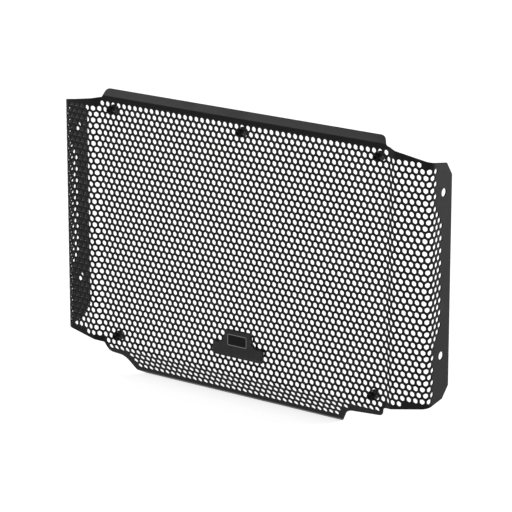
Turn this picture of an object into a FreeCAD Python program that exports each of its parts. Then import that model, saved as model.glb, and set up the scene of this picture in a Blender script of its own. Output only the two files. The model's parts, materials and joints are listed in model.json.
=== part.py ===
import FreeCAD, Part
import math
import os

from FreeCAD import Vector

# Radiator guard of a motorcycle, in millimetres and upright as it is mounted.
# +Z is up, +Y points back to the radiator and +X to the right of someone who looks at the front.
# The sheet is described by its flat blank: s runs across from the middle, v runs up from the middle
# of the mounting holes. The finished model has the centre of its box at the origin.

# Sheet
sheet_thickness = 1.1
bend_radius = 6.2
fold_radius = 3.4

# Runs of the sheet from the middle to the rear edge of a side
panel_half_width = 148.0
step_angle = 25.0
step_flat = 5.2
wing_sweep = 5.7
wing_flat = 25.8
side_flat = 24.8

# Upper and lower edges of the wings and sides, which start just short of the folds
top_edge_setback = 1.5
bottom_edge_setback = 1.5
top_edge_slope = 10.4
bottom_edge_slope = 9.8
top_chamfer_width = 7.7
top_chamfer_height = 10.8
bottom_chamfer_width = 8.9
bottom_chamfer_height = 9.6
notch_width = 1.5
edge_station_turn = 12.0
trim_reach = 15.0

# Top flange
top_fold_height = 105.4
top_flange_angle = 25.0
top_flange_length = 7.1
top_flange_inset = 1.5

# Bottom flange, deeper in the middle, with a lip along its deep edge
bottom_fold_depth = 118.4
bottom_flange_angle = 25.0
bottom_flange_inset = 0.7
shallow_depth = 7.2
shallow_slope = 5.1
deep_depth = 22.5
deep_end_slope = 59.0
deep_left = 120.0
deep_right = 101.2
root_radius = 10.0
lip_angle = 35.0
lip_length = 7.5
lip_mitre = 5.4

# Ends and corners of both flanges
flange_end_slant = 20.0
flange_corner_radius = 5.5

# Pattern of six-sided holes, coarser than the real 6 mm pattern and in about the same proportion.
# The row of the top screws belongs to it, and no hole comes near a buffer, a corner or a mounting hole.
hole_pitch = 21.0
hole_width = 15.4
edge_web = 2.0
side_margin = 20.9
middle_margin = 10.9
mount_land = 20.0

# Mounting holes
mount_hole_spacing = 137.0
mount_hole_diameter = 7.0
mount_hole_inset = 11.7

# Places of the screws, in from the folds and from the ends of the flat panel
top_screw_drop = 11.9
top_screw_inset = 10.0
bottom_screw_rise = 9.2
bottom_screw_inset = 13.0

# Screws, buffers and the six-sided threaded inserts moulded into them
screw_hole_width = 4.75
screw_diameter = 4.0
head_diameter = 7.0
head_height = 2.2
socket_width = 2.5
socket_depth = 1.3
thread_clearance = 0.05
screw_end_gap = 0.3
buffer_diameter = 8.5
buffer_length = 7.2
insert_width = 5.2
insert_length = 5.0

# Badge
badge_thickness = 3.5
badge_rise = 16.1
badge_base_width = 51.6
badge_base_height = 11.2
badge_block_width = 27.0
badge_height = 23.8
badge_shoulder_radius = 7.8

# Heights and widths that follow from the sizes above
wing_top_height = top_fold_height - top_edge_setback
wing_bottom_depth = bottom_fold_depth - bottom_edge_setback
top_flange_half_width = panel_half_width - top_flange_inset
bottom_flange_half_width = panel_half_width - bottom_flange_inset
top_screw_height = top_fold_height - top_screw_drop
bottom_screw_depth = bottom_fold_depth - bottom_screw_rise


def tangent(angle):
    """Tangent of an angle in degrees."""
    return math.tan(math.radians(angle))


def bend(angle, radius):
    """Run round a bend: its length on the middle surface and its turn."""
    return abs(math.radians(angle)) * radius, angle


def setback(angle):
    """Distance from a sharp fold line to the start of the fold."""
    return fold_radius * tangent(angle / 2)


side_runs = [
    (panel_half_width, 0),
    bend(-step_angle, bend_radius),
    (step_flat, 0),
    bend(step_angle + wing_sweep, bend_radius),
    (wing_flat, 0),
    bend(90 - wing_sweep, bend_radius),
    (side_flat, 0),
]
top_runs = [
    (top_fold_height - setback(top_flange_angle), 0),
    bend(top_flange_angle, fold_radius),
    (top_flange_length - setback(top_flange_angle), 0),
]
bottom_runs = [
    (bottom_fold_depth - setback(bottom_flange_angle), 0),
    bend(bottom_flange_angle, fold_radius),
    (deep_depth - setback(bottom_flange_angle) - setback(lip_angle), 0),
    bend(lip_angle, fold_radius),
    (lip_length - setback(lip_angle), 0),
]


def ends(runs):
    """Distance to the end of each run."""
    return [sum(length for length, turn in runs[:count + 1]) for count in range(len(runs))]


def walk(runs, distance):
    """Forward and sideways travel and heading after a distance along the runs."""
    forward, sideways, heading = 0.0, 0.0, 0.0
    for length, turn in runs:
        part = min(distance, length)
        if turn:
            radius = length / math.radians(turn)
            after = heading + part / radius
            forward += radius * (math.sin(after) - math.sin(heading))
            sideways += radius * (math.cos(heading) - math.cos(after))
            heading = after
        else:
            forward += part * math.cos(heading)
            sideways += part * math.sin(heading)
        distance -= part
    return forward + distance * math.cos(heading), sideways + distance * math.sin(heading), heading


def place(s, v, offset=0.0):
    """Point of the folded sheet at s, v of the blank, offset forward from its middle surface."""
    if abs(s) > panel_half_width:
        across, back, turn = walk(side_runs, abs(s))
        across += offset * math.sin(turn)
        return Vector(math.copysign(across, s), back - offset * math.cos(turn), v)
    runs = top_runs if v > 0 else bottom_runs
    away, back, lean = walk(runs, abs(v))
    away += offset * math.sin(lean)
    return Vector(s, back - offset * math.cos(lean), math.copysign(away, v))


def stretch(start, middle, end):
    """Straight or round edge through three points."""
    if middle.distanceToLine(start, end - start) < 1e-6:
        return Part.LineSegment(start, end).toShape()
    return Part.Arc(start, middle, end).toShape()


def section(at, stations):
    """Cross-section of the sheet along at(distance, offset)."""
    edges = []
    for offset, order in ((sheet_thickness / 2, stations), (-sheet_thickness / 2, stations[::-1])):
        for start, end in zip(order, order[1:]):
            edges.append(stretch(at(start, offset), at((start + end) / 2, offset), at(end, offset)))
        edges.append(Part.LineSegment(at(order[-1], offset), at(order[-1], -offset)).toShape())
    return Part.Face(Part.Wire(edges))


def rounded_face(corners):
    """Face in one plane from corners, each a point and the radius that rounds it."""
    rounds = []
    for number, (corner, radius) in enumerate(corners):
        before = (corners[number - 1][0] - corner).normalize()
        after = (corners[(number + 1) % len(corners)][0] - corner).normalize()
        half = before.getAngle(after) / 2
        cut = radius / math.tan(half)
        middle = corner + (before + after).normalize() * radius * (1 / math.sin(half) - 1)
        rounds.append((corner + before * cut, middle, corner + after * cut, radius))
    edges = []
    last = rounds[-1][2]
    for start, middle, end, radius in rounds:
        edges.append(Part.LineSegment(last, start).toShape())
        if radius:
            edges.append(Part.Arc(start, middle, end).toShape())
        last = end
    return Part.Face(Part.Wire(edges))


def prism(face, travel):
    """Solid swept by a face to both sides."""
    moved = face.copy()
    moved.translate(travel * -1)
    return moved.extrude(travel * 2)


def bend_stations():
    """Places across the blank at each end of a run and within each bend."""
    stations = []
    start = 0.0
    for length, turn in side_runs:
        parts = max(1, math.ceil(abs(turn) / edge_station_turn))
        stations += [start + length * (number + 1) / parts for number in range(parts)]
        start += length
    return stations


rear = ends(side_runs)[-1]


def side_edge(level, slope, chamfer_width, chamfer_height):
    """Places and heights of a wing's edge from the panel to past the rear of the side."""
    corner = rear - chamfer_width
    height = level - tangent(slope) * (corner - panel_half_width)
    drop = chamfer_height / chamfer_width
    stations = [s for s in bend_stations() if s < corner] + [corner, rear + 2 * sheet_thickness]
    return [(s, level - tangent(slope) * (s - panel_half_width) if s <= corner
             else height - drop * (s - corner)) for s in stations]


def edge_cutter(edge, side, up, far):
    """Solid that takes away what lies beyond an edge of the blank."""
    reach = 2 * sheet_thickness
    wires = []
    for s, height in edge:
        ring = [(height, reach), (height, -reach), (far, -reach), (far, reach), (height, reach)]
        wires.append(Part.makePolygon([place_upright(side * s, up * z, n) for z, n in ring]))
    return Part.makeLoft(wires, True, True)


def place_upright(s, v, offset):
    """Point of the wall as if it had no flanges."""
    level = place(s, 0.0, offset)
    return Vector(level.x, level.y, v)


def wall():
    """Panel, steps, wings and sides as one bent strip with sloping edges."""
    stops = ends(side_runs)
    top = ends(top_runs)[0]
    bottom = ends(bottom_runs)[0]
    stations = [-stop for stop in stops[::-1]] + stops
    profile = section(lambda s, offset: place(s, 0.0, offset), stations)
    profile.translate(Vector(0, 0, -bottom))
    strip = profile.extrude(Vector(0, 0, top + bottom))
    upper = side_edge(wing_top_height, top_edge_slope, top_chamfer_width, top_chamfer_height)
    lower = side_edge(wing_bottom_depth, bottom_edge_slope, bottom_chamfer_width, bottom_chamfer_height)
    upper_start = [(panel_half_width - notch_width, top)]
    lower_start = [(panel_half_width - notch_width, bottom)]
    cutters = []
    for side in (-1, 1):
        cutters.append(edge_cutter(upper_start + upper, side, 1, top + trim_reach))
        cutters.append(edge_cutter(lower_start + lower, side, -1, bottom + trim_reach))
    return strip.cut(cutters)


def flange_point(x, distance, fold, angle, up):
    """Point of a flange's middle plane at a distance from its sharp fold line."""
    lean = math.radians(angle)
    return Vector(x, distance * math.sin(lean), up * (fold + distance * math.cos(lean)))


def flange(runs, corners, fold, angle, up):
    """Folded strip along the top or bottom of the panel, trimmed to its outline."""
    stops = ends(runs)
    profile = section(lambda v, offset: place(0.0, up * v, offset), stops)
    profile.translate(Vector(-panel_half_width, 0, 0))
    strip = profile.extrude(Vector(2 * panel_half_width, 0, 0))
    outline = [(flange_point(x, distance, fold, angle, up), radius) for x, distance, radius in corners]
    lean = math.radians(angle)
    across = Vector(0, -math.cos(lean), up * math.sin(lean))
    return strip.common(prism(rounded_face(outline), across * trim_reach))


def flange_end(half_width, distance):
    """Half width of a flange at a distance from its fold, where its end slants in."""
    return half_width - tangent(flange_end_slant) * distance


def top_flange():
    """Short flange folded back along the top."""
    foot = -fold_radius
    corners = []
    for side in (-1, 1):
        pair = [(side * flange_end(top_flange_half_width, foot), foot, 0),
                (side * flange_end(top_flange_half_width, top_flange_length), top_flange_length,
                 flange_corner_radius)]
        corners += pair if side < 0 else pair[::-1]
    return flange(top_runs, corners, top_fold_height, top_flange_angle, 1)


def deep_root(deep_end):
    """Corner where the shallow edge meets the slanting end of the deep part."""
    rise = tangent(shallow_slope)
    steep = tangent(deep_end_slope)
    corner = flange_end(bottom_flange_half_width, shallow_depth)
    level = shallow_depth + rise * (corner - deep_end - deep_depth / steep)
    distance = level / (1 - rise / steep)
    return deep_end + (deep_depth - distance) / steep, distance


def bottom_corners(side, deep_end):
    """Outline of the bottom flange from its outer end to the mitred end of the lip."""
    foot = -fold_radius
    root, root_distance = deep_root(deep_end)
    past = deep_depth + lip_length
    lip_end = deep_end - lip_mitre / math.cos(math.radians(lip_angle))
    return [
        (side * flange_end(bottom_flange_half_width, foot), foot, 0),
        (side * flange_end(bottom_flange_half_width, shallow_depth), shallow_depth, flange_corner_radius),
        (side * root, root_distance, root_radius),
        (side * deep_end, deep_depth, 0),
        (side * lip_end, past, 0),
    ]


def bottom_flange():
    """Flange folded back along the bottom, with its deep part and lip."""
    corners = bottom_corners(-1, deep_left) + bottom_corners(1, deep_right)[::-1]
    return flange(bottom_runs, corners, bottom_fold_depth, bottom_flange_angle, -1)


def hole_cutter(s, v, width):
    """Six-sided prism across the sheet with two of its sides upright."""
    reach = width / math.sqrt(3)
    turns = [math.radians(60 * number) for number in range(6)]
    corners = [place(s + reach * math.sin(turn), v + reach * math.cos(turn)) for turn in turns]
    centre = sum(corners, Vector()) / 6
    axis = (corners[1] + corners[2] - corners[4] - corners[5]).cross(corners[0] - corners[3]).normalize()
    depth = max(abs(axis.dot(point - centre)) for point in corners + [place(s, v)]) + 2 * sheet_thickness
    ring = [point + axis * axis.dot(centre - point) for point in corners]
    return prism(Part.Face(Part.makePolygon(ring + ring[:1])), axis * depth)


def hole_field():
    """Outline of the blank that holes keep clear of, as corners at s, v."""
    half = []
    for side, deep_end in ((1, deep_right), (-1, deep_left)):
        root, root_distance = deep_root(deep_end)
        upper = side_edge(wing_top_height, top_edge_slope, top_chamfer_width, top_chamfer_height)
        lower = side_edge(wing_bottom_depth, bottom_edge_slope, bottom_chamfer_width, bottom_chamfer_height)
        end = flange_end(bottom_flange_half_width, shallow_depth)
        points = [(side * top_flange_half_width, top_fold_height), (side * upper[0][0], upper[0][1])]
        points += [(side * s, v) for s, v in upper[-2:]]
        points += [(side * s, -v) for s, v in lower[:-3:-1]]
        points += [(side * lower[0][0], -lower[0][1])]
        points += [(side * end, -bottom_fold_depth - shallow_depth)]
        points += [(side * root, -bottom_fold_depth - root_distance)]
        points += [(side * deep_end, -bottom_fold_depth - deep_depth)]
        half.append(points)
    return half[0] + half[1][::-1]


def clearance(s, v, outline):
    """Distance from a place of the blank to an outline round it, less than nothing outside it."""
    point = Vector(s, v, 0)
    nearest = math.inf
    crossings = 0
    for (s0, v0), (s1, v1) in zip(outline, outline[1:] + outline[:1]):
        start, along = Vector(s0, v0, 0), Vector(s1 - s0, v1 - v0, 0)
        share = min(1.0, max(0.0, (point - start).dot(along) / along.dot(along)))
        nearest = min(nearest, (start + along * share).distanceToPoint(point))
        if (v0 > v) != (v1 > v) and s < s0 + (v - v0) * (s1 - s0) / (v1 - v0):
            crossings += 1
    return nearest if crossings % 2 else -nearest


def screw_places():
    """Name, place across and height of each screw."""
    places = [("top_middle", 0.0, top_screw_height)]
    for hand, side in (("left", -1), ("right", 1)):
        places.append(("top_" + hand, side * (panel_half_width - top_screw_inset), top_screw_height))
        places.append(("bottom_" + hand, side * (panel_half_width - bottom_screw_inset),
                       -bottom_screw_depth))
    return places


def pattern_places():
    """Places of the pattern's holes on the blank, in rows counted from the top screws."""
    row_pitch = hole_pitch * math.sqrt(3) / 2
    outline = hole_field()
    room = hole_width / math.sqrt(3) + edge_web
    screws = [(x, z) for name, x, z in screw_places()]
    rows = math.ceil((top_screw_height + bottom_fold_depth + deep_depth) / row_pitch)
    columns = math.ceil(rear / hole_pitch)
    found = []
    for row in range(-rows, rows + 1):
        for column in range(-columns, columns + 1):
            s = (column + (row % 2) / 2) * hole_pitch
            v = top_screw_height - row * row_pitch
            between = abs(v) + hole_width / 2 < mount_hole_spacing / 2 - mount_land
            reach = rear - (middle_margin if between else side_margin)
            covered = any(math.hypot(s - x, v - z) < (hole_width + buffer_diameter) / 2 for x, z in screws)
            if clearance(s, v, outline) > room and abs(s) + hole_width / 2 < reach and not covered:
                found.append((s, v))
    return found


def mount_hole_cutters():
    """Round holes through both sides."""
    cutters = []
    for side in (-1, 1):
        for up in (-1, 1):
            centre = place(side * (rear - mount_hole_inset), up * mount_hole_spacing / 2)
            start = centre - Vector(2 * sheet_thickness, 0, 0)
            cutters.append(Part.makeCylinder(mount_hole_diameter / 2, 4 * sheet_thickness, start,
                                             Vector(1, 0, 0)))
    return cutters


def guard_panel():
    """The whole folded sheet with its holes."""
    sheet = wall().fuse([top_flange(), bottom_flange()]).removeSplitter()
    cutters = [hole_cutter(s, v, hole_width) for s, v in pattern_places()]
    cutters += [hole_cutter(x, z, screw_hole_width) for name, x, z in screw_places()]
    return sheet.cut(Part.makeCompound(cutters + mount_hole_cutters())).Solids[0]


def hexagon(width, level):
    """Upright six-sided face across the Y axis."""
    reach = width / math.sqrt(3)
    turns = [math.radians(60 * number) for number in range(7)]
    return Part.Face(Part.makePolygon([Vector(reach * math.sin(turn), level, reach * math.cos(turn))
                                       for turn in turns]))


def cylinder(diameter, length):
    """Cylinder from the origin along +Y, or along -Y for a negative length."""
    return Part.Face(Part.Wire(Part.makeCircle(diameter / 2, Vector(), Vector(0, 1, 0)))).extrude(
        Vector(0, length, 0))


def screw():
    """Button-head screw with its seat at the origin and its shank along +Y."""
    shank = cylinder(screw_diameter, sheet_thickness + insert_length - screw_end_gap)
    socket = hexagon(socket_width, -head_height).extrude(Vector(0, socket_depth, 0))
    return cylinder(head_diameter, -head_height).cut(socket).fuse(shank)


def insert():
    """Threaded insert with its front at the origin."""
    bar = hexagon(insert_width, 0).extrude(Vector(0, insert_length, 0))
    return bar.cut(cylinder(screw_diameter + 2 * thread_clearance, insert_length))


def buffer():
    """Rubber buffer with the pocket that holds its insert."""
    pocket = hexagon(insert_width, 0).extrude(Vector(0, insert_length, 0))
    return cylinder(buffer_diameter, buffer_length).cut(pocket)


def badge():
    """Plate like a T upside down, with hollow shoulders."""
    base, block = badge_base_width / 2, badge_block_width / 2
    bottom = badge_rise - bottom_fold_depth
    shoulder = bottom + badge_base_height
    top = bottom + badge_height
    half = [(base, bottom, 0), (base, shoulder, 0),
            (block, shoulder, badge_shoulder_radius), (block, top, 0)]
    outline = half + [(-x, z, radius) for x, z, radius in half[::-1]]
    face = rounded_face([(Vector(x, 0, z), radius) for x, z, radius in outline])
    return face.extrude(Vector(0, -badge_thickness, 0))


def moved(shape, x, y, z):
    """The shape with its seat at x, y, z."""
    shape.translate(Vector(x, y, z))
    return shape


def all_pieces():
    """Every piece by name, in the frame of the blank."""
    front, back = -sheet_thickness / 2, sheet_thickness / 2
    pieces = {"guard_panel": guard_panel(), "badge": moved(badge(), 0, front, 0)}
    for name, x, z in screw_places():
        pieces["screw_" + name] = moved(screw(), x, front, z)
        pieces["buffer_" + name] = moved(buffer(), x, back, z)
        pieces["insert_" + name] = moved(insert(), x, back, z)
    return pieces


def box_middle(shapes):
    """Centre of the box round the corners of all shapes."""
    corners = [vertex.Point for shape in shapes for vertex in shape.Vertexes]
    return Vector(*((min(values) + max(values)) / 2 for values in zip(*corners)))


os.makedirs("parts", exist_ok=True)
pieces = all_pieces()
middle = box_middle(pieces.values())
for name, shape in pieces.items():
    shape.translate(middle * -1)
    shape.exportStep("parts/" + name + ".step")
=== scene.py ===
import json
import math

import bpy
from mathutils import Matrix, Vector
from mathutils.geometry import delaunay_2d_cdt


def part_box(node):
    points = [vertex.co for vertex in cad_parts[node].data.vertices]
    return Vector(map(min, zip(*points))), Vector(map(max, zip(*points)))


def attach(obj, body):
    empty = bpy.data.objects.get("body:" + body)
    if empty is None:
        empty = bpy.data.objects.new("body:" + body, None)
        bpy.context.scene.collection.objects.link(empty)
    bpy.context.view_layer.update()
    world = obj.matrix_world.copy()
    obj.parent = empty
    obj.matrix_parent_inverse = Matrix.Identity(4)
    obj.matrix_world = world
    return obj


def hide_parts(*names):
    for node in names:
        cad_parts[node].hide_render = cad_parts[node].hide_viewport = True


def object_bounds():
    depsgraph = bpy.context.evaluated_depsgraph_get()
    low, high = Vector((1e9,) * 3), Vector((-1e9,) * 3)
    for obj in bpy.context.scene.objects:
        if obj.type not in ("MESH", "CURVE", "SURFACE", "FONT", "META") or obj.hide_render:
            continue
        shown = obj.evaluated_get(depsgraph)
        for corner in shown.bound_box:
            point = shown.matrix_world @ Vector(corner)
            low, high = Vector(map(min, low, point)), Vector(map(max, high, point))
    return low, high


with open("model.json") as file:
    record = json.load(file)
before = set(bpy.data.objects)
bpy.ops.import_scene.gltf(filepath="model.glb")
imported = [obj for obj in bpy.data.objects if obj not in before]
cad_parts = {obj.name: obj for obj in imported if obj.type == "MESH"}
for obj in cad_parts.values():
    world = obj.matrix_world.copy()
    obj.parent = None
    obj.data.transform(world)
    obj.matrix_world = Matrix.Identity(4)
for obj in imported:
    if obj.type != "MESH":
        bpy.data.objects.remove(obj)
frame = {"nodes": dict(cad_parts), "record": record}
cad_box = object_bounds()

# Camera
# A long lens a little to the right of the guard and above it, so that the
# front, the top fold and the inside of the left side all show, as in the picture.
view_from = Vector((1.3798, -1.8484, 0.6649))
view_along = Vector((-0.5728, 0.7715, -0.2771)).normalized()
view_up = Vector((-0.1652, 0.2225, 0.9609))

camera_data = bpy.data.cameras.new("camera")
camera_data.lens = 200.19
camera_data.sensor_width = 36.0
camera_data.clip_start = 0.1
camera_data.clip_end = 60.0
camera = bpy.data.objects.new("camera", camera_data)
across = view_along.cross(view_up).normalized()
turned_up = across.cross(view_along)
camera.matrix_world = Matrix.Translation(view_from) @ Matrix(
    (across, turned_up, -view_along)).transposed().to_4x4()
bpy.context.scene.collection.objects.link(camera)
bpy.context.scene.camera = camera

# Guard sheet
# One aluminium sheet, 1.1 mm thick with its paint, laser cut with some 2,900
# six-sided holes while it is flat, folded at both sides, at the top and twice
# at the bottom, and powder coated black.
mm = 0.001
sheet_thickness = 1.1
edge_round = 0.2
bend_radius = 6.2
fold_radius = 3.4
panel_half_width = 148.0
step_angle = 25.0
step_flat = 5.2
wing_sweep = 5.7
wing_flat = 25.8
side_flat = 24.8
top_fold_height = 105.4
bottom_fold_depth = 118.4
top_fold_angle = 25.0
bottom_fold_angle = 25.0
lip_fold_angle = 35.0
top_flange_length = 7.1
deep_flange_depth = 22.5
lip_length = 7.5

# Places on the flat blank are s to the side and v up from the middle of the mounting holes.
notch_width = 1.5
top_flange_reach = 143.9
top_notch = (147.0, 104.05)
top_chamfer_front = (211.25, 92.27)
top_chamfer_height = 81.5
bottom_chamfer_height = -96.58
bottom_chamfer_front = (210.05, -106.18)
bottom_notch = (147.8, -116.94)
shallow_flange_reach = 147.3
shallow_flange_depth = 7.2
shallow_flange_slope = 5.1
deep_flange_left, deep_flange_right = 120.0, 101.2
deep_flange_end_slope = 59.0
flange_end_slant = 20.0
lip_mitre = 5.4
flange_corner_radius = 5.5
notch_radius = 3.0
wing_corner_radius = 1.5
root_radius = 10.0
lip_corner_radius = 0.8

hole_pitch = 6.0
hole_width = 4.2
hole_corner_cut = 0.42
hole_room = 4.46
last_column = 70
first_row, last_row = -17, 28
middle_row_height = 10.32
side_field_reach = 195.6
middle_field_reach = 204.0
middle_field_bevel = 229.0
bevel_slope = 0.577
mount_hole_place = (207.25, 68.5)
mount_hole_radius = 3.5

# Fineness of the mesh in bends, folds, round corners and plain stretches.
bend_part_angle = 11.0
fold_part_angle = 6.5
corner_part_angle = 15.0
mount_hole_parts = 36
longest_step, shortest_step = 3.0, 0.1
least_travel = 0.05
sharpest_mitre = 0.4
guide_spacing, guide_margin = 3.0, 0.45
guide_columns = range(-49, 50)
guide_rows = range(-40, 36)
keep_inside, point_tolerance = 1, 1e-5

powder_black = (0.0045, 0.0045, 0.0047, 1.0)
powder_dust = (0.0085, 0.0085, 0.0088, 1.0)

panel_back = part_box("badge")[1].y / mm
mount_level = next(mount["pos_m"][2] for mount in frame["record"]["mounts"]
                   if mount["name"] == "right_flange_holes") / mm
blank_middle = Vector((0.0, panel_back + sheet_thickness / 2, mount_level))


def bend(angle, radius):
    """Length of a bend on the middle surface and its turn."""
    return abs(math.radians(angle)) * radius, angle


def fold_setback(angle):
    """Distance from a sharp fold line to the start of the fold."""
    return fold_radius * math.tan(math.radians(angle / 2))


side_runs = [(panel_half_width, 0), bend(-step_angle, bend_radius),
             (step_flat, 0), bend(step_angle + wing_sweep, bend_radius),
             (wing_flat, 0), bend(90 - wing_sweep, bend_radius), (side_flat, 0)]
top_runs = [(top_fold_height - fold_setback(top_fold_angle), 0), bend(top_fold_angle, fold_radius),
            (top_flange_length - fold_setback(top_fold_angle), 0)]
bottom_runs = [(bottom_fold_depth - fold_setback(bottom_fold_angle), 0),
               bend(bottom_fold_angle, fold_radius),
               (deep_flange_depth - fold_setback(bottom_fold_angle) - fold_setback(lip_fold_angle), 0),
               bend(lip_fold_angle, fold_radius),
               (lip_length - fold_setback(lip_fold_angle), 0)]
rear = sum(length for length, turn in side_runs)
lip_edge = sum(length for length, turn in bottom_runs)


def walk(runs, distance):
    """Forward and sideways travel and heading after a distance along the runs."""
    forward, sideways, heading = 0.0, 0.0, 0.0
    for length, turn in runs:
        part = min(distance, length)
        if turn:
            radius = length / math.radians(turn)
            after = heading + part / radius
            forward += radius * (math.sin(after) - math.sin(heading))
            sideways += radius * (math.cos(heading) - math.cos(after))
            heading = after
        else:
            forward += part * math.cos(heading)
            sideways += part * math.sin(heading)
        distance -= part
    return forward + distance * math.cos(heading), sideways + distance * math.sin(heading), heading


def folded(s, v, lift):
    """Point of the folded sheet over s, v of its flat blank, lifted to the front by so much."""
    if abs(s) > panel_half_width:
        away, back, turn = walk(side_runs, abs(s))
        away += lift * math.sin(turn)
        place = Vector((math.copysign(away, s), back - lift * math.cos(turn), v))
    else:
        away, back, turn = walk(top_runs if v > 0 else bottom_runs, abs(v))
        away += lift * math.sin(turn)
        place = Vector((s, back - lift * math.cos(turn), math.copysign(away, v)))
    return (place + blank_middle) * mm


def run_stations(runs, part_angle):
    """Distances to the ends of each run and to the parts of each bend."""
    stations, start = [], 0.0
    for length, turn in runs:
        parts = max(1, math.ceil(abs(turn) / part_angle))
        stations += [start + length * (number + 1) / parts for number in range(parts)]
        start += length
    return stations[:-1]


def rounded_loop(corners):
    """Points round a loop of corners, each s, v and the radius that rounds it."""
    points = []
    for number, (s, v, radius) in enumerate(corners):
        corner = Vector((s, v))
        before = (Vector(corners[number - 1][:2]) - corner).normalized()
        after = (Vector(corners[(number + 1) % len(corners)][:2]) - corner).normalized()
        if not radius:
            points.append(corner)
            continue
        half = before.angle(after) / 2
        centre = corner + (before + after).normalized() * radius / math.sin(half)
        start = corner + before * radius / math.tan(half) - centre
        turn = math.pi - 2 * half
        if before.cross(after) > 0:
            turn = -turn
        parts = max(2, math.ceil(abs(turn) / math.radians(corner_part_angle)))
        for step in range(parts + 1):
            angle = turn * step / parts
            points.append(centre + Vector((start.x * math.cos(angle) - start.y * math.sin(angle),
                                           start.x * math.sin(angle) + start.y * math.cos(angle))))
    return points


def side_corners(side, deep_end):
    """Corners of one half of the blank from the top flange to the end of the lip."""
    slope = math.tan(math.radians(shallow_flange_slope))
    steep = math.tan(math.radians(deep_flange_end_slope))
    end = shallow_flange_reach - math.tan(math.radians(flange_end_slant)) * shallow_flange_depth
    root = (shallow_flange_depth + slope * (end - deep_end - deep_flange_depth / steep)) / (
        1 - slope / steep)
    corners = [(top_flange_reach, top_fold_height + top_flange_length, flange_corner_radius),
               (*top_notch, notch_radius),
               (*top_chamfer_front, wing_corner_radius),
               (rear, top_chamfer_height, wing_corner_radius),
               (rear, bottom_chamfer_height, wing_corner_radius),
               (*bottom_chamfer_front, wing_corner_radius),
               (*bottom_notch, notch_radius),
               (end, -bottom_fold_depth - shallow_flange_depth, flange_corner_radius),
               (deep_end + (deep_flange_depth - root) / steep, -bottom_fold_depth - root, root_radius),
               (deep_end, -bottom_fold_depth - deep_flange_depth, 0),
               (deep_end - lip_mitre, -lip_edge, lip_corner_radius)]
    return [(side * s, v, radius) for s, v, radius in corners]


left_corners = side_corners(-1, deep_flange_left)
right_corners = side_corners(1, deep_flange_right)
s_stations = [side * s for s in run_stations(side_runs, bend_part_angle) for side in (-1, 1)]
v_stations = run_stations(top_runs, fold_part_angle)
v_stations += [-v for v in run_stations(bottom_runs, fold_part_angle)]


def split_at_stations(loop):
    """The loop with more points where it crosses a bend or a fold, and on long straights."""
    points = []
    for start, end in zip(loop, loop[1:] + loop[:1]):
        length = (end - start).length
        shares = {0.0}
        for axis, stations in ((0, s_stations), (1, v_stations)):
            travel = end[axis] - start[axis]
            if abs(travel) > least_travel:
                shares |= {(station - start[axis]) / travel for station in stations}
        parts = math.ceil(length / longest_step)
        shares |= {number / parts for number in range(1, parts)}
        last = -1.0
        for share in sorted(share for share in shares if 0 <= share < 1):
            if (share - last) * length > shortest_step and (1 - share) * length > shortest_step:
                points.append(start.lerp(end, share))
                last = share
    return points


def drawn_in(loop, distance):
    """The loop, anticlockwise, moved inwards by a distance."""
    points = []
    for number, point in enumerate(loop):
        before = (point - loop[number - 1]).normalized()
        after = (loop[(number + 1) % len(loop)] - point).normalized()
        inwards = Vector((-before.y - after.y, before.x + after.x)).normalized()
        mitre = max(sharpest_mitre, inwards.dot(Vector((-after.y, after.x))))
        points.append(point + inwards * distance / mitre)
    return points


def clearance(point, corners):
    """Distance from a point to a loop of corners, less than nothing outside it."""
    nearest, crossings = math.inf, 0
    for start, end in zip(corners, corners[1:] + corners[:1]):
        along = end - start
        share = min(1.0, max(0.0, (point - start).dot(along) / along.dot(along)))
        nearest = min(nearest, (start + along * share - point).length)
        if (start.y > point.y) != (end.y > point.y):
            if point.x < start.x + (point.y - start.y) * along.x / along.y:
                crossings += 1
    return nearest if crossings % 2 else -nearest


# The holes keep off the cut edges and leave plain sheet round the mounting holes.
half_fields = []
for corners in (left_corners, right_corners):
    side = math.copysign(1, corners[0][0])
    half = [(side * (panel_half_width - notch_width), top_fold_height, 0),
            (side * panel_half_width, top_fold_height - notch_width, 0)]
    half_fields.append(half + corners[2:-1])
field_corners = rounded_loop(half_fields[0] + half_fields[1][::-1])
row_height = hole_pitch * math.sqrt(3) / 2


def cell_middle(column, row):
    """Middle of a hole by its column and row; a row's columns are all even or all odd."""
    return Vector((column * hole_pitch / 2, middle_row_height - row * row_height))


def is_hole(column, row):
    """True where the pattern has a hole."""
    middle = cell_middle(column, row)
    s, v = abs(middle.x), abs(middle.y)
    past_bevel = s + bevel_slope * v > middle_field_bevel
    near_mounts = s > side_field_reach and (s > middle_field_reach or past_bevel)
    return not near_mounts and clearance(middle, field_corners) >= hole_room


cells = {(column, row) for row in range(first_row, last_row + 1)
         for column in range(-last_column, last_column + 1)
         if (column + row) % 2 == 0 and is_hole(column, row)}

sheet_points, sheet_faces = [], []
blank_index = {}


def blank_point(point, lift):
    """Number of the sheet's vertex over a point of the blank."""
    key = (round(point.x, 3), round(point.y, 3), lift)
    if key not in blank_index:
        blank_index[key] = len(sheet_points)
        sheet_points.append(folded(point.x, point.y, lift))
    return blank_index[key]


def both_faces(points):
    """A face on the front of the sheet and its twin on the back, from points anticlockwise."""
    for lift, order in ((sheet_thickness / 2, points), (-sheet_thickness / 2, points[::-1])):
        sheet_faces.append([blank_point(point, lift) for point in order])


def cut_edge(loops, lifts):
    """Edge of the sheet through loops and their lifts, anticlockwise outside and clockwise in a hole."""
    for upper, lower, high, low in zip(loops, loops[1:], lifts, lifts[1:]):
        for number in range(len(upper)):
            after = (number + 1) % len(upper)
            sheet_faces.append([blank_point(lower[number], low), blank_point(lower[after], low),
                                blank_point(upper[after], high), blank_point(upper[number], high)])


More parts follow.
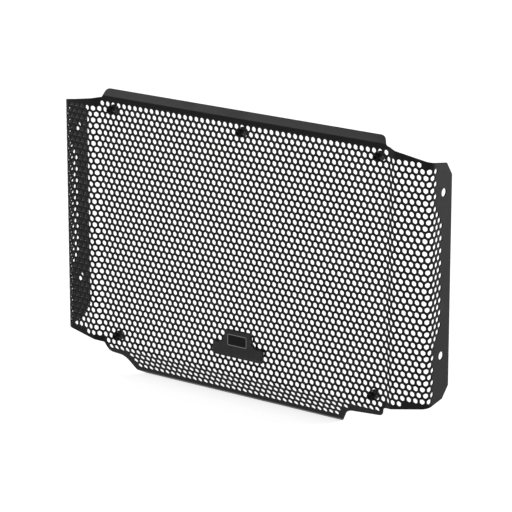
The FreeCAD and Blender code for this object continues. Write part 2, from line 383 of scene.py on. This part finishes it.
# Each hole with its share of the webs round it is one six-sided cell.
cell_reach = hole_pitch / math.sqrt(3)
hole_reach = hole_width / math.sqrt(3)
corner_ways = [Vector((math.sin(math.radians(-60 * number)), math.cos(math.radians(-60 * number))))
               for number in range(6)]
edge_lifts = (sheet_thickness / 2, -sheet_thickness / 2)
neighbours = ((-1, -1), (-2, 0), (-1, 1), (1, 1), (2, 0), (1, -1))
border_edges = []
for column, row in sorted(cells):
    middle = cell_middle(column, row)
    outer = [middle + way * cell_reach for way in corner_ways]
    hole_corners = [middle + way * hole_reach for way in corner_ways]
    inner = []
    for number, corner in enumerate(hole_corners):
        beside = (hole_corners[number - 1], hole_corners[(number + 1) % 6])
        inner.append([corner + (other - corner).normalized() * hole_corner_cut for other in beside])
    for number in range(6):
        after = (number + 1) % 6
        both_faces([outer[number], outer[after], inner[after][0], inner[number][1]])
        both_faces([outer[number], inner[number][1], inner[number][0]])
        step = neighbours[number]
        if (column + step[0], row + step[1]) not in cells:
            border_edges.append((outer[number], outer[after]))
    hole_loop = [point for pair in inner for point in pair][::-1]
    cut_edge([hole_loop, hole_loop], edge_lifts)

# The plain border lies between the cells, the cut edge and the mounting holes.
outline = split_at_stations(rounded_loop(left_corners + right_corners[::-1]))
face_outline = drawn_in(outline, edge_round)
mount_circle = []
for number in range(mount_hole_parts):
    angle = math.radians(360 / mount_hole_parts * number)
    mount_circle.append(Vector((math.cos(angle), math.sin(angle))) * mount_hole_radius)
mount_circles = []
for side in (-1, 1):
    for up in (-1, 1):
        centre = Vector((side * mount_hole_place[0], up * mount_hole_place[1]))
        mount_circles.append([centre + point for point in mount_circle])

plan, plan_index, plan_edges = [], {}, []


def plan_point(point):
    """Number of a point in the flat plan of the border."""
    key = (round(point.x, 3), round(point.y, 3))
    if key not in plan_index:
        plan_index[key] = len(plan)
        plan.append(point)
    return plan_index[key]


for loop in [face_outline] + mount_circles:
    numbers = [plan_point(point) for point in loop]
    plan_edges += list(zip(numbers, numbers[1:] + numbers[:1]))
plan_edges += [(plan_point(start), plan_point(end)) for start, end in border_edges]


def owner(point):
    """Column and row of the pattern's place nearest to a point."""
    row = round((middle_row_height - point.y) / row_height)
    column = round(point.x / (hole_pitch / 2))
    nearby = [(near, line) for line in (row - 1, row, row + 1)
              for near in range(column - 2, column + 3) if (near + line) % 2 == 0]
    return min(nearby, key=lambda place: (cell_middle(*place) - point).length)


def is_border(point, margin):
    """True for a point of the sheet that is at least a margin from the cells and the mounting holes."""
    from_mount = math.hypot(abs(point.x) - mount_hole_place[0], abs(point.y) - mount_hole_place[1])
    around = [point + way * margin for way in corner_ways] + [point]
    return from_mount > mount_hole_radius + margin and not any(owner(place) in cells for place in around)


guides = [Vector((s, row * guide_spacing)) for s in s_stations for row in guide_rows]
guides += [Vector((column * guide_spacing, v)) for v in v_stations for column in guide_columns]
for guide in guides:
    if is_border(guide, guide_margin) and clearance(guide, face_outline) > guide_margin:
        plan_point(guide)

outline_numbers = [plan_point(point) for point in face_outline]
triangulation = delaunay_2d_cdt(plan, plan_edges, [outline_numbers], keep_inside, point_tolerance)
flat_points, flat_faces = triangulation[0], triangulation[2]
for face in flat_faces:
    corners = [flat_points[number] for number in face]
    centre = sum(corners, Vector((0.0, 0.0))) / len(corners)
    if is_border(centre, 0.0):
        both_faces(corners)
rim_lifts = (sheet_thickness / 2, sheet_thickness / 2 - edge_round,
             edge_round - sheet_thickness / 2, -sheet_thickness / 2)
cut_edge([face_outline, outline, outline, face_outline], rim_lifts)
for circle in mount_circles:
    cut_edge([circle[::-1], circle[::-1]], edge_lifts)


def smooth_piece(name, points, faces, sharp_angle):
    """A piece in the scene, shaded smooth but for edges that turn more than an angle in degrees."""
    mesh = bpy.data.meshes.new(name)
    mesh.from_pydata([tuple(point) for point in points], [], faces)
    mesh.validate()
    mesh.polygons.foreach_set("use_smooth", [True] * len(mesh.polygons))
    mesh.set_sharp_from_angle(angle=math.radians(sharp_angle))
    mesh.update()
    piece = bpy.data.objects.new(name, mesh)
    bpy.context.scene.collection.objects.link(piece)
    return piece


class Value:
    """A number that varies over a surface. Sums and products of it add Math nodes."""

    def __init__(self, finish, socket):
        self.finish = finish
        self.socket = socket

    def worked(self, operation, first, second):
        return self.finish.node("Math", {"operation": operation}, {0: first, 1: second})

    def __add__(self, other):
        return self.worked("ADD", self, other)

    __radd__ = __add__

    def __sub__(self, other):
        return self.worked("SUBTRACT", self, other)

    def __rsub__(self, other):
        return self.worked("SUBTRACT", other, self)

    def __mul__(self, other):
        return self.worked("MULTIPLY", self, other)

    __rmul__ = __mul__


class Finish:
    """A material with one shader. What is the same all over is set on the shader's own sockets."""

    def __init__(self, name, settings):
        self.material = bpy.data.materials.new(name)
        self.material.use_nodes = True
        self.tree = self.material.node_tree
        self.shader = self.tree.nodes["Principled BSDF"]
        self.feed(self.shader, settings)

    def feed(self, node, inputs):
        """Sets a node's sockets to values, or links them."""
        for socket, value in inputs.items():
            if isinstance(value, Value):
                self.tree.links.new(value.socket, node.inputs[socket])
            else:
                node.inputs[socket].default_value = value

    def node(self, kind, settings, inputs, output=0):
        """A new node, with its settings made before its sockets are fed."""
        node = self.tree.nodes.new("ShaderNode" + kind)
        for setting, value in settings.items():
            setattr(node, setting, value)
        self.feed(node, inputs)
        return Value(self, node.outputs[output])

    def place(self):
        """Position on the piece in metres."""
        return self.node("TexCoord", {}, {}, "Object")

    def noise(self, scale, detail=2.0):
        """Cloudy noise from 0 to 1 with so many bumps per metre."""
        return self.node("TexNoise", {}, {"Vector": self.place(), "Scale": scale, "Detail": detail})

    def mask(self, value, low, high):
        """0 below low, 1 above high and smooth between them."""
        return self.node("MapRange", {"interpolation_type": "SMOOTHSTEP"},
                         {"Value": value, "From Min": low, "From Max": high})

    def blend(self, mask, first, second):
        """First colour where the mask is 0, second where it is 1."""
        return self.node("Mix", {"data_type": "RGBA"}, {0: mask, 6: first, 7: second}, 2)

    def bump(self, height, strength, distance):
        """Relief of so many metres."""
        return self.node("Bump", {}, {"Height": height, "Strength": strength, "Distance": distance})

    def paint(self, inputs):
        """Feeds the shader what varies."""
        self.feed(self.shader, inputs)


powder_coat = Finish("powder_coat", {"Specular IOR Level": 0.08})
peel = powder_coat.noise(650.0, 3.0)
grain = powder_coat.noise(2600.0)
settled_dust = powder_coat.mask(powder_coat.noise(38.0, 4.0), 0.52, 0.78)
powder_coat.paint({
    "Base Color": powder_coat.blend(settled_dust * 0.5, powder_black, powder_dust),
    "Roughness": 0.28 + 0.08 * grain + 0.08 * settled_dust,
    "Normal": powder_coat.bump(peel + 0.4 * grain, 0.3, 0.00006)})
guard_sheet = smooth_piece("guard_sheet", sheet_points, sheet_faces, sharp_angle=40)
guard_sheet.data.materials.append(powder_coat.material)
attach(guard_sheet, "root")
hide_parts("guard_panel")

# Badge
# A plastic plate low in the middle of the front, moulded with hollow shoulders
# and stuck to the sheet. Its front is bare but for a dark lacquered field with
# a thin raised line round it.
badge_thickness = 3.5
badge_bottom = -102.3
badge_base_half, badge_base_height = 25.8, 11.2
badge_block_half, badge_height = 13.5, 23.8
badge_shoulder_radius = 7.8
badge_corner_radius = 1.0
badge_bevel, bevel_break = 0.45, 0.3
frame_half_width, frame_low, frame_high = 10.1, -91.9, -81.8
frame_corner_radius = 1.5
frame_line_width, frame_line_slope = 0.7, 0.05
frame_line_height, frame_line_root = 0.15, 0.1
field_height = 0.03
badge_black = (0.014, 0.014, 0.0145, 1.0)
badge_cloud = (0.019, 0.019, 0.0195, 1.0)
frame_grey = (0.13, 0.13, 0.135, 1.0)
frame_shade = (0.11, 0.11, 0.115, 1.0)
field_black = (0.002, 0.002, 0.0022, 1.0)
field_wave = (0.005, 0.005, 0.0052, 1.0)


def plate_point(point, lift):
    """Point on the badge's plane, lifted to the front of the sheet by so much."""
    return (Vector((point.x, -sheet_thickness / 2 - lift, point.y)) + blank_middle) * mm


def layered_piece(name, layers, closed):
    """Piece through loops of equal length, each with its lift, with or without faces at its ends."""
    points = [plate_point(point, lift) for loop, lift in layers for point in loop]
    count = len(layers[0][0])
    last = (len(layers) - 1) * count
    faces = []
    for start in range(0, last, count):
        for number in range(count):
            after = (number + 1) % count
            faces.append([start + number, start + after, start + count + after, start + count + number])
    if closed:
        faces.append(list(range(count))[::-1])
        faces.append(list(range(last, last + count)))
    return smooth_piece(name, points, faces, sharp_angle=50)


badge_shoulder = badge_bottom + badge_base_height
badge_top = badge_bottom + badge_height
badge_half = [(badge_base_half, badge_bottom, badge_corner_radius),
              (badge_base_half, badge_shoulder, badge_corner_radius),
              (badge_block_half, badge_shoulder, badge_shoulder_radius),
              (badge_block_half, badge_top, badge_corner_radius)]
badge_loop = rounded_loop(badge_half + [(-x, z, radius) for x, z, radius in badge_half[::-1]])
badge_face = badge_thickness - frame_line_height
badge_layers = [(badge_loop, 0.0), (badge_loop, badge_thickness - badge_bevel),
                (drawn_in(badge_loop, badge_bevel * bevel_break),
                 badge_thickness - badge_bevel * bevel_break),
                (drawn_in(badge_loop, badge_bevel), badge_face)]
badge_plate = layered_piece("badge_plate", badge_layers, closed=True)

line_outside = rounded_loop([(frame_half_width, frame_low, frame_corner_radius),
                             (frame_half_width, frame_high, frame_corner_radius),
                             (-frame_half_width, frame_high, frame_corner_radius),
                             (-frame_half_width, frame_low, frame_corner_radius)])
line_inside = drawn_in(line_outside, frame_line_width)
line_root = badge_face - frame_line_root
line_layers = [(line_outside, line_root), (drawn_in(line_outside, frame_line_slope), badge_thickness),
               (drawn_in(line_outside, frame_line_width - frame_line_slope), badge_thickness),
               (line_inside, line_root), (line_outside, line_root)]
frame_line = layered_piece("badge_frame_line", line_layers, closed=False)
field_layers = [(line_inside, line_root), (line_inside, badge_face + field_height)]
badge_field = layered_piece("badge_field", field_layers, closed=True)

badge_plastic = Finish("badge_plastic", {"Specular IOR Level": 0.12})
mould_grain = badge_plastic.noise(3200.0, 3.0)
mould_clouds = badge_plastic.mask(badge_plastic.noise(120.0, 3.0), 0.35, 0.7)
badge_plastic.paint({
    "Base Color": badge_plastic.blend(mould_clouds, badge_black, badge_cloud),
    "Roughness": 0.42 + 0.12 * mould_grain,
    "Normal": badge_plastic.bump(mould_grain, 0.25, 0.00004)})
badge_plate.data.materials.append(badge_plastic.material)

line_ink = Finish("badge_frame_ink", {"Specular IOR Level": 0.4})
ink_grain = line_ink.noise(2600.0, 2.0)
line_ink.paint({
    "Base Color": line_ink.blend(ink_grain, frame_shade, frame_grey),
    "Roughness": 0.38 + 0.1 * ink_grain,
    "Normal": line_ink.bump(ink_grain, 0.2, 0.00003)})
frame_line.data.materials.append(line_ink.material)

field_lacquer = Finish("badge_field_lacquer", {"Specular IOR Level": 0.08})
lacquer_waves = field_lacquer.noise(420.0, 3.0)
field_lacquer.paint({
    "Base Color": field_lacquer.blend(lacquer_waves, field_black, field_wave),
    "Roughness": 0.2 + 0.1 * lacquer_waves,
    "Normal": field_lacquer.bump(lacquer_waves, 0.15, 0.00003)})
badge_field.data.materials.append(field_lacquer.material)
for piece in (badge_plate, frame_line, badge_field):
    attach(piece, "root")
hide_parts("badge")

# Screws
# Five M4 button-head screws of blackened steel with a hex socket, turned and
# cold headed. Each clamps a buffer to the back of the sheet through one hole.
head_radius, head_height = 3.5, 2.2
head_rim, head_flat_radius = 0.35, 1.9
dome_parts = 8
socket_width, socket_depth = 2.5, 1.3
socket_tip_radius, socket_tip_depth = 0.3, 0.3
socket_edge_width, socket_edge_depth = 0.12, 0.1
shank_radius, shank_length = 2.0, 5.8
shank_fillet, shank_tip = 0.15, 0.5
steel_black = (0.004, 0.004, 0.0043, 1.0)
oxide_brown = (0.009, 0.0085, 0.008, 1.0)
ring_points = 36


def lathe_ring(reach, level, sides=0):
    """Ring of points round the Y axis at a level, round or with flat sides that far from the axis."""
    ring = []
    for number in range(ring_points):
        angle = 2 * math.pi * number / ring_points
        distance = reach
        if sides:
            share = (angle + math.pi / sides) % (2 * math.pi / sides) - math.pi / sides
            distance = reach / math.cos(share)
        ring.append(Vector((distance * math.cos(angle), level, distance * math.sin(angle))))
    return ring


def turned_piece(name, rings, seat):
    """Closed piece through rings from the front's middle to the back's, with its seat at a place."""
    points = [(point + seat) * mm for ring in rings for point in ring]
    last = (len(rings) - 1) * ring_points
    faces = [list(range(ring_points))]
    for start in range(0, last, ring_points):
        end = start + ring_points
        for number in range(ring_points):
            after = (number + 1) % ring_points
            faces.append([start + number, end + number, end + after, start + after])
    faces.append(list(range(last, last + ring_points))[::-1])
    return smooth_piece(name, points, faces, sharp_angle=38)


screw_rings = [lathe_ring(socket_tip_radius, socket_depth - head_height + socket_tip_depth),
               lathe_ring(socket_width / 2, socket_depth - head_height, sides=6),
               lathe_ring(socket_width / 2, socket_edge_depth - head_height, sides=6),
               lathe_ring(socket_width / 2 + socket_edge_width, -head_height, sides=6)]
for step in range(dome_parts + 1):
    angle = step / dome_parts * math.pi / 2
    reach = head_flat_radius + (head_radius - head_flat_radius) * math.sin(angle)
    drop = (head_height - head_rim) * (1 - math.cos(angle))
    screw_rings.append(lathe_ring(reach, drop - head_height))
screw_rings += [lathe_ring(head_radius, 0.0), lathe_ring(shank_radius + shank_fillet, 0.0),
                lathe_ring(shank_radius, shank_fillet), lathe_ring(shank_radius, shank_length - shank_tip),
                lathe_ring(shank_radius - shank_tip, shank_length)]

black_steel = Finish("black_steel", {"Specular IOR Level": 0.06})
oxide = black_steel.noise(900.0, 4.0)
oxide_spots = black_steel.mask(oxide, 0.56, 0.72)
black_steel.paint({
    "Base Color": black_steel.blend(oxide_spots, steel_black, oxide_brown),
    "Roughness": 0.34 + 0.2 * oxide,
    "Normal": black_steel.bump(black_steel.noise(2400.0), 0.2, 0.00003)})
screw_names = ("top_left", "top_middle", "top_right", "bottom_left", "bottom_right")
seats = {}
for name in screw_names:
    lowest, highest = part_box("screw_" + name)
    seats[name] = Vector(((lowest.x + highest.x) / 2 / mm, panel_back, (lowest.z + highest.z) / 2 / mm))
    head = turned_piece("button_screw_" + name, screw_rings, seats[name])
    head.data.materials.append(black_steel.material)
    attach(head, "root")
    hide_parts("screw_" + name)

# Buffers
# Five short rubber posts behind the sheet, moulded round the inserts. Their
# soft round ends rest on the radiator and keep the sheet from rattling on it.
buffer_radius, buffer_length = 4.25, 7.2
buffer_edge, buffer_middle = 0.1, 3.2
buffer_rounding, rounding_parts = 2.2, 9
buffer_tip_radius = 0.6
pocket_width, pocket_depth = 5.2, 5.0
pocket_floor_radius = 0.5
rubber_black = (0.005, 0.005, 0.0052, 1.0)
rubber_grey = (0.01, 0.01, 0.01, 1.0)

buffer_rings = [lathe_ring(pocket_floor_radius, pocket_depth),
                lathe_ring(pocket_width / 2, pocket_depth, sides=6),
                lathe_ring(pocket_width / 2, 0.0, sides=6),
                lathe_ring(buffer_radius - buffer_edge, 0.0), lathe_ring(buffer_radius, buffer_edge),
                lathe_ring(buffer_radius, buffer_middle),
                lathe_ring(buffer_radius, buffer_length - buffer_rounding)]
for step in range(1, rounding_parts + 1):
    angle = math.radians(90 / rounding_parts * step)
    buffer_rings.append(lathe_ring(buffer_radius - buffer_rounding * (1 - math.cos(angle)),
                                   buffer_length - buffer_rounding * (1 - math.sin(angle))))
buffer_rings.append(lathe_ring(buffer_tip_radius, buffer_length))

buffer_rubber = Finish("buffer_rubber", {"Specular IOR Level": 0.08})
rubber_bloom = buffer_rubber.mask(buffer_rubber.noise(260.0, 4.0), 0.45, 0.75)
buffer_rubber.paint({
    "Base Color": buffer_rubber.blend(rubber_bloom, rubber_black, rubber_grey),
    "Roughness": 0.62 + 0.14 * rubber_bloom,
    "Normal": buffer_rubber.bump(buffer_rubber.noise(2100.0, 3.0), 0.3, 0.00005)})
for name in screw_names:
    seat = seats[name] + Vector((0.0, sheet_thickness, 0.0))
    post = turned_piece("rubber_buffer_" + name, buffer_rings, seat)
    post.data.materials.append(buffer_rubber.material)
    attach(post, "root")
    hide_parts("buffer_" + name)

# Inserts
# Six-sided brass inserts with an M4 thread, cut from drawn bar and moulded
# into the buffers. The solids already have their shape, so they get only brass.
brass = (0.62, 0.45, 0.18, 1.0)
brown_brass = (0.36, 0.24, 0.1, 1.0)
insert_brass = Finish("insert_brass", {"Metallic": 1.0})
tarnish = insert_brass.mask(insert_brass.noise(500.0, 4.0), 0.45, 0.7)
drawn_lines = insert_brass.noise(3000.0, 1.0)
insert_brass.paint({
    "Base Color": insert_brass.blend(tarnish, brass, brown_brass),
    "Roughness": 0.28 + 0.22 * tarnish,
    "Normal": insert_brass.bump(drawn_lines, 0.2, 0.00002)})
for name in screw_names:
    bar = frame["nodes"]["insert_" + name].data
    bar.materials.clear()
    bar.materials.append(insert_brass.material)

# Floor
# A plain table top with matt white paint under the guard, wide enough to fill
# the picture. The guard's lowest edge stands on it.
floor_level = cad_box[0].z
floor_reach = 12.0
floor_white = (0.36, 0.36, 0.36, 1.0)
floor_glow = (1.0, 1.0, 1.0, 1.0)

floor_mesh = bpy.data.meshes.new("floor")
floor_mesh.from_pydata([(-floor_reach, -floor_reach, floor_level), (floor_reach, -floor_reach, floor_level),
                        (floor_reach, floor_reach, floor_level), (-floor_reach, floor_reach, floor_level)],
                       [], [[0, 1, 2, 3]])
floor = bpy.data.objects.new("floor", floor_mesh)
bpy.context.scene.collection.objects.link(floor)
table_white = Finish("table_white", {"Base Color": floor_white, "Specular IOR Level": 0.1,
                                     "Emission Color": floor_glow, "Emission Strength": 0.76})
table_white.paint({"Roughness": 0.75 + 0.1 * table_white.noise(3.0)})
floor_mesh.materials.append(table_white.material)

# Lights
# Soft white light all round, with a large panel high at the front left for the
# folds, a stronger one low at the back right for the sides and a weak one on top.
guard_middle = Vector((0.0, 0.0, 0.0))
panel_white = (1.0, 1.0, 1.0, 1.0)

studio = bpy.data.worlds.new("studio")
studio.use_nodes = True
studio.node_tree.nodes["Background"].inputs["Color"].default_value = panel_white
studio.node_tree.nodes["Background"].inputs["Strength"].default_value = 0.45
bpy.context.scene.world = studio


def softbox(name, place, width, height, power):
    """Flat light of a width and height that faces the guard."""
    light = bpy.data.lights.new(name, "AREA")
    light.shape = "RECTANGLE"
    light.size, light.size_y = width, height
    light.energy = power
    lamp = bpy.data.objects.new(name, light)
    lamp.location = place
    lamp.rotation_mode = "QUATERNION"
    lamp.rotation_quaternion = (guard_middle - Vector(place)).to_track_quat("-Z", "Y")
    bpy.context.scene.collection.objects.link(lamp)


softbox("front_left_panel", (-1.7, -2.1, 1.25), width=1.4, height=1.0, power=46.0)
softbox("back_right_panel", (2.2, 1.9, 0.6), width=1.6, height=1.0, power=155.0)
softbox("top_panel", (0.0, 0.0, 3.4), width=4.0, height=4.0, power=8.0)
bpy.context.scene.view_settings.view_transform = "Standard"
